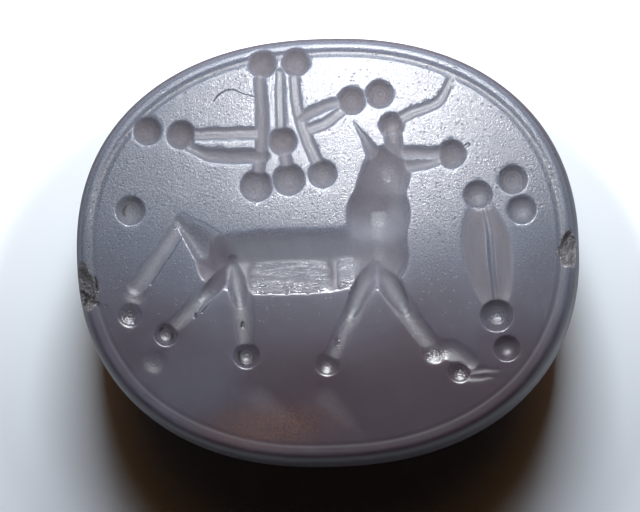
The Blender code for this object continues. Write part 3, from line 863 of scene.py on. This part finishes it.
class SEAL_OT_stone(Operator):
    """Cut, engrave and wear the chalcedony stone."""

    bl_idname = "seal.stone"
    bl_label = "Stone"

    def execute(self, context):
        sizes, engraving = context.scene.seal_stone, context.scene.seal_engraving
        mesh = bmesh.new()
        cuts = all_cuts(engraving)
        stations = stone_profile(sizes, engraving)
        face_field(mesh, stations[0][1], sizes.outline_fullness)
        refine_cuts(mesh, cuts, engraving)
        grow_sides(mesh, boundary_loop(mesh), stations, sizes.outline_fullness)
        refine_chips(mesh)
        bmesh.ops.recalc_face_normals(mesh, faces=mesh.faces)
        engrave(mesh, cuts, sizes, engraving)
        break_chips(mesh)
        bmesh.ops.triangulate(mesh, faces=mesh.faces, quad_method="BEAUTY")
        bmesh.ops.scale(mesh, vec=(MM, MM, MM), verts=mesh.verts)
        data = bpy.data.meshes.new("chalcedony_scaraboid")
        mesh.to_mesh(data)
        mesh.free()
        data.shade_smooth()
        stone = bpy.data.objects.new("chalcedony_scaraboid", data)
        context.scene.collection.objects.link(stone)
        drill_string_hole(context, stone, sizes)
        mark_surface(stone.data, cuts, sizes, engraving)
        stone.data.materials.clear()
        stone.data.materials.append(chalcedony(context.scene.seal_finish))
        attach(stone, "root")
        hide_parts("scaraboid")
        return {"FINISHED"}


def engrave(mesh, cuts, sizes, engraving):
    """Sinks the border line and the engraving into the top of the stone, and lets the polish waver."""
    top = [vert for vert in mesh.verts if vert.co.z > FACE - sizes.shoulder_rise * CUT_SHARE]
    places = np.array([vert.co for vert in top])
    x, y, z = places.T
    inset, angle = plan_inset(x, y, sizes.outline_fullness)
    flat = z > FACE - FLAT_MARGIN
    waver = np.array([noise.noise(Vector((*place[:2], 0.0)) * POLISH_WAVE_SCALE) for place in places])
    z = z - flat * border_line(inset, angle, sizes, engraving)
    z = z - flat * sizes.polish_wave * (1 + waver)
    z = z - flat * fine_lines(x, y)[0]
    over = carved_depth(cuts, x, y, engraving)[0] - (FACE - z)
    z = z - 0.5 * (over + np.sqrt(over**2 + engraving.arris**2))
    for vert, height in zip(top, z):
        vert.co.z = height


def patches(x, y, table, power, fullest):
    """The last numbers of a table's rows, each with its oval patch's strength at places on the face."""
    for px, py, long, wide, *values in table:
        middle = on_face(px, py)
        away = (abs(x - middle[0]) / long) ** power + (abs(y - middle[1]) / wide) ** power
        yield np.clip(fullest - away, 0.0, 1.0), values


def ring_marks(x, y, cuts, depth, top):
    """Distance from the middle of each drilling whose floor shows rings, and how clear they are."""
    radial, rings = np.zeros(x.shape), np.zeros(x.shape)
    for cut in cuts:
        if cut.rings:
            away = np.hypot(x - cut.centre[0], y - cut.centre[1])
            inside = (away < cut.reach + RING_FADE) & top & (cut.depth(x, y) > depth - RING_FADE)
            radial[inside] = away[inside]
            rings[inside] = cut.rings * np.clip(1.15 - away[inside] / cut.reach, 0.0, 1.0)
    return radial, rings


def dirt_marks(x, y):
    """How dirty each place is."""
    dirt = np.zeros(x.shape)
    for width, path in DIRT_LINES:
        dirt = np.maximum(dirt, np.clip(1.5 * (1 - line_distance(x, y, path) / width), 0.0, 1.0))
    return dirt


def chip_marks(places):
    """Where the surface is freshly broken."""
    chipped = np.zeros(len(places))
    for x, y, reach, stand_out, seed in CHIPS:
        centre = chip_centre(x, y, stand_out)
        for index in np.flatnonzero(np.linalg.norm(places - centre, axis=1) < reach + CHIP_MARGIN):
            away = Vector(places[index] - centre)
            over = away.length - chip_surface(away.normalized(), reach, seed)
            chipped[index] = max(chipped[index], min(1.0, max(0.0, 1 - over / CHIP_FADE)))
    return chipped


def mark_surface(data, cuts, sizes, engraving):
    """Gives the mesh numbers for the finish: where it is cut, ground rough, striped, chipped or dirty, and
    where its cut floors get painted shade.
    """
    places = np.array([vert.co for vert in data.vertices]) / MM
    x, y, z = places.T
    top = z > FACE - MARK_DEPTH
    depth = np.where(top, carved_depth(cuts, x, y, engraving)[0], -1.0)
    marks = {"cut": np.clip(depth / CUT_FADE, 0.0, 1.0)}
    inset, angle = plan_inset(x, y, sizes.outline_fullness)
    away = abs(inset - border_middle(angle, sizes, engraving))
    scratch = np.clip(1.4 - away / engraving.scratch, 0.0, 1.0)
    marks["scratch"] = scratch * (z > FACE - 0.2) * (depth < 0)
    strokes = carved_depth([cut for cut in cuts if cut.rings is None and not cut.soft], x, y, engraving)[0]
    marks["wheel"] = np.clip((strokes - depth) / WHEEL_FADE + 1.5, 0.0, 1.0) * marks["cut"]
    marks["radial"], marks["rings"] = ring_marks(x, y, cuts, depth, top)
    for name in ("ground", "striped", "dull"):
        marks[name] = np.zeros(x.shape)
    floor = top * (depth > 0.02)
    for patch, (rough, stripes) in patches(x, y, ROUGH_PATCHES, 4, 1.6):
        marks["ground"] = np.maximum(marks["ground"], patch * floor * rough)
        marks["striped"] = np.maximum(marks["striped"], patch * floor * stripes)
    # Painted shade on cut floors that face away from the light, with a rougher polish
    for patch, (dull,) in patches(x, y, DULL_SHADE_PATCHES, 2, 1.5):
        smooth = marks["cut"] * (1 - marks["ground"])
        marks["dull"] = np.maximum(marks["dull"], patch * dull * smooth)
    marks["dirt"] = dirt_marks(x, y) * top
    marks["chip"] = chip_marks(places)
    for name in MARKS:
        data.attributes.new(name, "FLOAT", "POINT").data.foreach_set("value", marks[name])


def drill_string_hole(context, stone, sizes):
    """Takes the string hole out of the stone with a turned cutter."""
    mesh = bmesh.new()
    outside = HALF_LENGTH + sizes.hole_mouth_depth
    throat = HALF_LENGTH - sizes.hole_mouth_depth
    flare = sizes.hole_mouth - sizes.hole / 2
    outline = [(-outside, 0.0), (-outside, flare), (-throat, sizes.hole / 2)]
    outline += [(throat, sizes.hole / 2), (outside, flare), (outside, 0.0)]
    height = FACE - sizes.hole_below_face
    verts = [mesh.verts.new((x, 0.0, radius)) for x, radius in outline]
    edges = [mesh.edges.new(pair) for pair in zip(verts, verts[1:])]
    bmesh.ops.spin(
        mesh, geom=verts + edges, cent=(0.0, 0.0, 0.0), axis=(1.0, 0.0, 0.0), angle=math.tau,
        steps=HOLE_SIDES, use_merge=True,
    )
    bmesh.ops.remove_doubles(mesh, verts=mesh.verts, dist=1e-5)
    bmesh.ops.recalc_face_normals(mesh, faces=mesh.faces)
    bmesh.ops.translate(mesh, vec=(0.0, 0.0, height), verts=mesh.verts)
    bmesh.ops.scale(mesh, vec=(MM, MM, MM), verts=mesh.verts)
    data = bpy.data.meshes.new("drill")
    mesh.to_mesh(data)
    mesh.free()
    data.shade_smooth()
    drill = bpy.data.objects.new("drill", data)
    context.scene.collection.objects.link(drill)
    cutting = stone.modifiers.new("string hole", "BOOLEAN")
    cutting.operation = "DIFFERENCE"
    cutting.solver = "EXACT"
    cutting.object = drill
    context.view_layer.update()
    whole = stone.evaluated_get(context.evaluated_depsgraph_get())
    cut = bpy.data.meshes.new_from_object(whole)
    stone.modifiers.clear()
    old = stone.data
    stone.data = cut
    bpy.data.meshes.remove(old)
    bpy.data.objects.remove(drill)
    stone.data.set_sharp_from_angle(angle=SHARP_ANGLE)


class Nodes:
    """Short calls for a material's nodes."""

    def __init__(self, material):
        material.use_nodes = True
        self.tree = material.node_tree
        self.shader = self.tree.nodes["Principled BSDF"]
        coordinates = self.tree.nodes.new("ShaderNodeTexCoord")
        self.place = self.add("ShaderNodeMapping", {"Vector": coordinates.outputs["Object"]})
        self.place.node.inputs["Scale"].default_value = (1 / MM, 1 / MM, 1 / MM)

    def add(self, kind, inputs, output=0, **settings):
        """One node with its inputs, whose values are numbers, colours or other nodes' outputs."""
        node = self.tree.nodes.new(kind)
        for name, value in settings.items():
            setattr(node, name, value)
        for name, value in inputs.items():
            if isinstance(value, bpy.types.NodeSocket):
                self.tree.links.new(value, node.inputs[name])
            else:
                node.inputs[name].default_value = value
        return node.outputs[output]

    def noise(self, scale, detail, roughness, place=None):
        """Cloudy noise, with its scale counted per millimetre."""
        inputs = {"Vector": place or self.place, "Scale": scale, "Detail": detail, "Roughness": roughness}
        return self.add("ShaderNodeTexNoise", inputs)

    def math(self, operation, one, other=0.0):
        """A sum, product or the like."""
        return self.add("ShaderNodeMath", {0: one, 1: other}, operation=operation)

    def plus(self, first, *others):
        """The sum of several values."""
        for other in others:
            first = self.math("ADD", first, other)
        return first

    def times(self, first, *others):
        """The product of several values."""
        for other in others:
            first = self.math("MULTIPLY", first, other)
        return first

    def span(self, value, low, high, start=0.0, stop=1.0):
        """A value's span taken smoothly to another."""
        inputs = {"Value": value, "From Min": low, "From Max": high, "To Min": start, "To Max": stop}
        return self.add("ShaderNodeMapRange", inputs, interpolation_type="SMOOTHSTEP")

    def mix(self, share, one, other):
        """A mix of two colours."""
        one = (*one, 1.0) if not isinstance(one, bpy.types.NodeSocket) else one
        other = (*other, 1.0) if not isinstance(other, bpy.types.NodeSocket) else other
        return self.add("ShaderNodeMix", {0: share, 6: one, 7: other}, output=2, data_type="RGBA")

    def attribute(self, name):
        """A number that the mesh carries."""
        return self.add("ShaderNodeAttribute", {}, output=2, attribute_name=name)

    def link(self, output, name):
        """Joins an output to one of the shader's inputs."""
        self.tree.links.new(output, self.shader.inputs[name])


class StoneMarks:
    """What the finish is made from: the mesh's marks, places on the stone, and patterns."""

    def __init__(self, nodes):
        for name in MARKS:
            setattr(self, name, nodes.attribute(name))
        self.along = nodes.add("ShaderNodeSeparateXYZ", {0: nodes.place}, output=1)
        self.across, up = self.along.node.outputs[0], self.along.node.outputs[2]
        self.south = nodes.span(self.along, *SOUTH)
        self.north = nodes.span(self.along, *NORTH)
        self.shoulder = nodes.span(up, *SHOULDER)
        self.specks = nodes.noise(*SPECKS)
        combed = nodes.add("ShaderNodeMapping", {"Vector": nodes.place})
        combed.node.inputs["Scale"].default_value = COMB_SCALE
        self.comb = nodes.noise(*COMB, combed)
        grit = nodes.add("ShaderNodeTexVoronoi", {"Vector": nodes.place, "Scale": PIT_SCALE}, feature="F1")
        self.pits = nodes.times(
            nodes.span(grit, *PIT_SIZE),
            nodes.span(self.cut, *PITS_ON_CUTS),
            nodes.span(nodes.noise(*PIT_GROUPS), *PIT_GROUP_EDGE),
            nodes.span(self.south, *PITS_SOUTH),
        )


def brown_glow_cloud(nodes, marks):
    """How strongly the painted warm glow of light through the stone shows: a speckled brown cloud that ends
    at the leaf-shaped marks.
    """
    middle = (-BROWN_GLOW_PLACE[0], -BROWN_GLOW_PLACE[1], 0.0)
    away = nodes.add("ShaderNodeVectorMath", {0: nodes.place, 1: middle}, operation="ADD")
    squeezed = nodes.add("ShaderNodeVectorMath", {0: away, 1: (*BROWN_GLOW_SQUEEZE, 0.0)}, operation="MULTIPLY")
    reach = nodes.add("ShaderNodeVectorMath", {0: squeezed}, output=1, operation="LENGTH")
    uncut = nodes.span(marks.cut, *BROWN_GLOW_ON_CUTS)
    return nodes.times(nodes.span(reach, BROWN_GLOW_REACH, 0.0), nodes.span(marks.specks, *BROWN_GLOW_SPECKS), uncut)


def stone_colour(nodes, marks, finish):
    """Lavender grey that turns to smoke colour as painted shade towards the bottom, less so at the lower
    left, and on the north shoulder, with random clouds, under the colours of its marks.
    """
    clouds = nodes.times(nodes.plus(nodes.noise(*CLOUDS), -0.5), TINTS["clouds"])
    pale = nodes.times(
        nodes.span(marks.across, *PALE_ACROSS), nodes.span(marks.along, *PALE_ALONG), TINTS["pale"]
    )
    # Painted shade on the north shoulder, which faces the key lamp, and on the sunken floors there
    shoulder_shade = nodes.times(marks.shoulder, nodes.span(marks.along, *SHOULDER_SHADE_ALONG), TINTS["shoulder_shade"])
    # Painted shade: the stone turns to smoke colour towards the bottom and on the north shoulder
    smoky_shade = nodes.plus(nodes.span(nodes.plus(marks.south, clouds, pale), 0.0, 1.0), shoulder_shade)
    body = nodes.mix(smoky_shade, finish.milk, finish.smoke_and_shade)
    layers = (
        # Painted glow: warm light through the stone near the lower edge
        (brown_glow_cloud(nodes, marks), finish.brown_glow),
        # The cut floors' own paler ground colour, with less of it towards the bottom as painted shade
        (nodes.times(marks.cut, nodes.span(marks.south, *GROUND_TINT)), finish.ground),
        # Painted shade: smoke colour in the shaded cut floors
        (nodes.times(marks.dull, TINTS["dull"]), finish.smoke_and_shade),
        (nodes.times(marks.scratch, TINTS["scratch"]), finish.ground),
        (nodes.times(marks.chip, nodes.span(marks.specks, *FLINT_TINT)), finish.flint),
        (nodes.times(marks.pits, TINTS["pits"]), finish.soot),
        (nodes.times(marks.dirt, TINTS["dirt"]), finish.soot),
    )
    for share, tint in layers:
        body = nodes.mix(share, body, tint)
    return body


def stone_roughness(nodes, marks):
    """Satin polish with flecks, duller in the strokes and on the shoulder, glossy where it is broken."""
    flecks = nodes.plus(nodes.noise(*FLECKS), -0.5)
    flecks = nodes.times(flecks, nodes.plus(marks.north, nodes.times(marks.ground, GROUND_FLECKS)))
    return nodes.plus(
        POLISH,
        nodes.times(flecks, ROUGHNESS["flecks"]),
        nodes.times(marks.cut, nodes.span(marks.south, *CUT_POLISH)),
        nodes.times(marks.wheel, nodes.span(marks.south, *WHEEL_POLISH)),
        nodes.times(marks.striped, nodes.span(marks.comb, *COMB_POLISH)),
        nodes.times(marks.shoulder, nodes.span(marks.along, *SHOULDER_POLISH)),
        *(nodes.times(getattr(marks, name), ROUGHNESS[name]) for name in ("dull", "pits", "chip", "ground")),
    )


def stone_relief(nodes, marks):
    """The fine relief: satin grain, pits, lumps in rough places, rings in drillings and combed stripes."""
    satin = nodes.plus(nodes.noise(*SATIN), -0.5)
    lumps = nodes.plus(nodes.noise(*LUMPS), -0.5)
    rubble = nodes.plus(
        *(nodes.times(getattr(marks, name), RELIEF[name]) for name in ("ground", "chip", "cut"))
    )
    ripple = nodes.math("SINE", nodes.times(marks.radial, math.tau / RING_PITCH))
    height = nodes.plus(
        nodes.times(satin, nodes.span(marks.north, *GRAIN_HEIGHT)),
        nodes.times(marks.pits, RELIEF["pits"]),
        nodes.times(lumps, rubble),
        nodes.times(ripple, marks.rings, RELIEF["rings"]),
        nodes.times(marks.comb, marks.striped, RELIEF["striped"]),
    )
    return nodes.add("ShaderNodeBump", {"Height": height, "Strength": 1.0, "Distance": RELIEF_STEP * MM})


def chalcedony(finish):
    """Milky lavender-grey chalcedony."""
    material = bpy.data.materials.new("chalcedony")
    nodes = Nodes(material)
    marks = StoneMarks(nodes)
    nodes.link(stone_colour(nodes, marks, finish), "Base Color")
    nodes.link(stone_roughness(nodes, marks), "Roughness")
    nodes.link(stone_relief(nodes, marks), "Normal")
    shader = nodes.shader
    shader.inputs["IOR"].default_value = STONE_IOR
    shader.inputs["Subsurface Weight"].default_value = 1.0
    shader.inputs["Subsurface Radius"].default_value = SCATTER_COLOUR
    shader.inputs["Subsurface Scale"].default_value = SCATTER_REACH * MM
    return material


class SEAL_OT_stage(Operator):
    """Lay the pale floor, hang the lights and set the camera."""

    bl_idname = "seal.stage"
    bl_label = "Stage"

    def execute(self, context):
        stage = context.scene.seal_stage
        lay_floor(context, stage)
        hang_lights(context, stage)
        set_camera(context)
        return {"FINISHED"}


# The sheet of paper: half its side in metres, where its painted shade turns it grey towards the front, in
# millimetres, and its dull surface
PAPER_REACH = 0.6
PAPER_SHADE_SPAN = (-19.0, 11.0)
PAPER_ROUGHNESS = 0.9


def lay_floor(context, stage):
    """A sheet of paper under the stone, almost white at the back, with painted shade that turns it grey in
    front.
    """
    mesh = bmesh.new()
    bmesh.ops.create_grid(mesh, x_segments=4, y_segments=4, size=PAPER_REACH)
    data = bpy.data.meshes.new("paper")
    mesh.to_mesh(data)
    mesh.free()
    floor = bpy.data.objects.new("paper", data)
    context.scene.collection.objects.link(floor)
    material = bpy.data.materials.new("paper")
    nodes = Nodes(material)
    along = nodes.add("ShaderNodeSeparateXYZ", {0: nodes.place}, output=1)
    # Painted shade: the floor turns grey towards the front
    nodes.link(nodes.mix(nodes.span(along, *PAPER_SHADE_SPAN), stage.shade, stage.paper), "Base Color")
    nodes.shader.inputs["Roughness"].default_value = PAPER_ROUGHNESS
    data.materials.append(material)


# The lamps: their sides in millimetres and their tints
KEY_SIDE, WARM_SIDE, GLOW_SIDE = 100, 230, 4
COOL, WARM, WHITE = (0.9, 1.0, 1.08), (1.0, 0.5, 0.16), (1.0, 1.0, 1.0)
SURROUNDINGS = (1.0, 0.62, 0.42)
# Where the lamps hang and where the glow looks, in millimetres, and how wide the glow spreads, in degrees
LAMP_PLACE = (14, 165, 245)
GLOW_PLACE = (1.6, 10.5, FACE + 25)
GLOW_TARGET = (1.6, 9.5, FACE)
GLOW_SPREAD = 90.0


def add_light(context, name, power, width, place, target, tint, spread=180.0):
    """A square soft light at a place in millimetres that looks at a target and spreads by some degrees."""
    data = bpy.data.lights.new(name, "AREA")
    data.shape = "SQUARE"
    data.size = width * MM
    data.energy = power
    data.color = tint
    data.spread = math.radians(spread)
    lamp = bpy.data.objects.new(name, data)
    place, target = Vector(place) * MM, Vector(target) * MM
    lamp.location = place
    lamp.rotation_euler = (target - place).to_track_quat("-Z", "Y").to_euler()
    context.scene.collection.objects.link(lamp)
    return lamp


def hang_lights(context, stage):
    """A lamp behind the stone's top edge, and a small glow close above it that the face mirrors.

    A weaker, wider and warmer lamp in the first one's place gives the shadow its brown rim.
    """
    add_light(context, "key", stage.key_power, KEY_SIDE, LAMP_PLACE, (0, 0, 0), COOL)
    add_light(context, "warm", stage.warm_power, WARM_SIDE, LAMP_PLACE, (0, 0, 0), WARM)
    add_light(context, "glow", stage.glow_power, GLOW_SIDE, GLOW_PLACE, GLOW_TARGET, WHITE, GLOW_SPREAD)
    world = bpy.data.worlds.new("world")
    world.use_nodes = True
    background = world.node_tree.nodes["Background"]
    background.inputs["Color"].default_value = (*SURROUNDINGS, 1.0)
    background.inputs["Strength"].default_value = stage.world
    context.scene.world = world
    context.scene.view_settings.view_transform = "Standard"


# The photograph's frame: 640 pixels across show this many millimetres at the height of the face
PICTURE_WIDTH = 30.4
PICTURE_ROLL = math.radians(2.06)
PICTURE_MIDDLE = (-0.289, -0.304)
CAMERA_DISTANCE = 500.0
CAMERA_TILT = math.radians(3.5)
CAMERA_BEARING = math.radians(-60.0)


def set_camera(context):
    """A camera that looks almost straight down, rolled as in the photograph."""
    data = bpy.data.cameras.new("camera")
    data.sensor_width = 36.0
    data.lens = data.sensor_width * CAMERA_DISTANCE / PICTURE_WIDTH
    data.clip_start, data.clip_end = 0.01, 10.0
    camera = bpy.data.objects.new("camera", data)
    right = Vector((math.cos(PICTURE_ROLL), -math.sin(PICTURE_ROLL), 0.0))
    up = Vector((math.sin(PICTURE_ROLL), math.cos(PICTURE_ROLL), 0.0))
    aim = right * PICTURE_MIDDLE[0] + up * PICTURE_MIDDLE[1] + Vector((0.0, 0.0, FACE))
    lean = right * math.cos(CAMERA_BEARING) + up * math.sin(CAMERA_BEARING)
    away = lean * math.sin(CAMERA_TILT) + Vector((0.0, 0.0, math.cos(CAMERA_TILT)))
    side = up.cross(away).normalized()
    camera_up = away.cross(side)
    turn = Matrix((side, camera_up, away)).transposed()
    camera.matrix_world = Matrix.Translation((aim + away * CAMERA_DISTANCE) * MM) @ turn.to_4x4()
    context.scene.collection.objects.link(camera)
    context.scene.camera = camera


class SEAL_PT_panel(Panel):
    """The seal's sizes, finish and stage."""

    bl_idname = "SEAL_PT_panel"
    bl_label = "Scaraboid seal"
    bl_space_type = "VIEW_3D"
    bl_region_type = "UI"
    bl_category = "Seal"

    def draw(self, context):
        layout = self.layout
        for group in ("seal_stone", "seal_engraving", "seal_finish", "seal_stage"):
            settings = getattr(context.scene, group)
            box = layout.box()
            for name in settings.__annotations__:
                box.prop(settings, name)
        for operator in (SEAL_OT_stone, SEAL_OT_stage):
            layout.operator(operator.bl_idname)


GROUPS = {
    "seal_stone": StoneSizes,
    "seal_engraving": EngravingSizes,
    "seal_finish": StoneFinish,
    "seal_stage": StageSettings,
}
CLASSES = (*GROUPS.values(), SEAL_OT_stone, SEAL_OT_stage, SEAL_PT_panel)


def register():
    """Adds the classes and their settings to Blender."""
    for kind in CLASSES:
        bpy.utils.register_class(kind)
    for name, group in GROUPS.items():
        setattr(bpy.types.Scene, name, PointerProperty(type=group))


def unregister():
    """Takes them out again."""
    for name in GROUPS:
        delattr(bpy.types.Scene, name)
    for kind in reversed(CLASSES):
        bpy.utils.unregister_class(kind)


def main():
    """Makes the seal and its stage."""
    register()
    bpy.ops.seal.stage()
    bpy.ops.seal.stone()


if __name__ == "__main__":
    main()
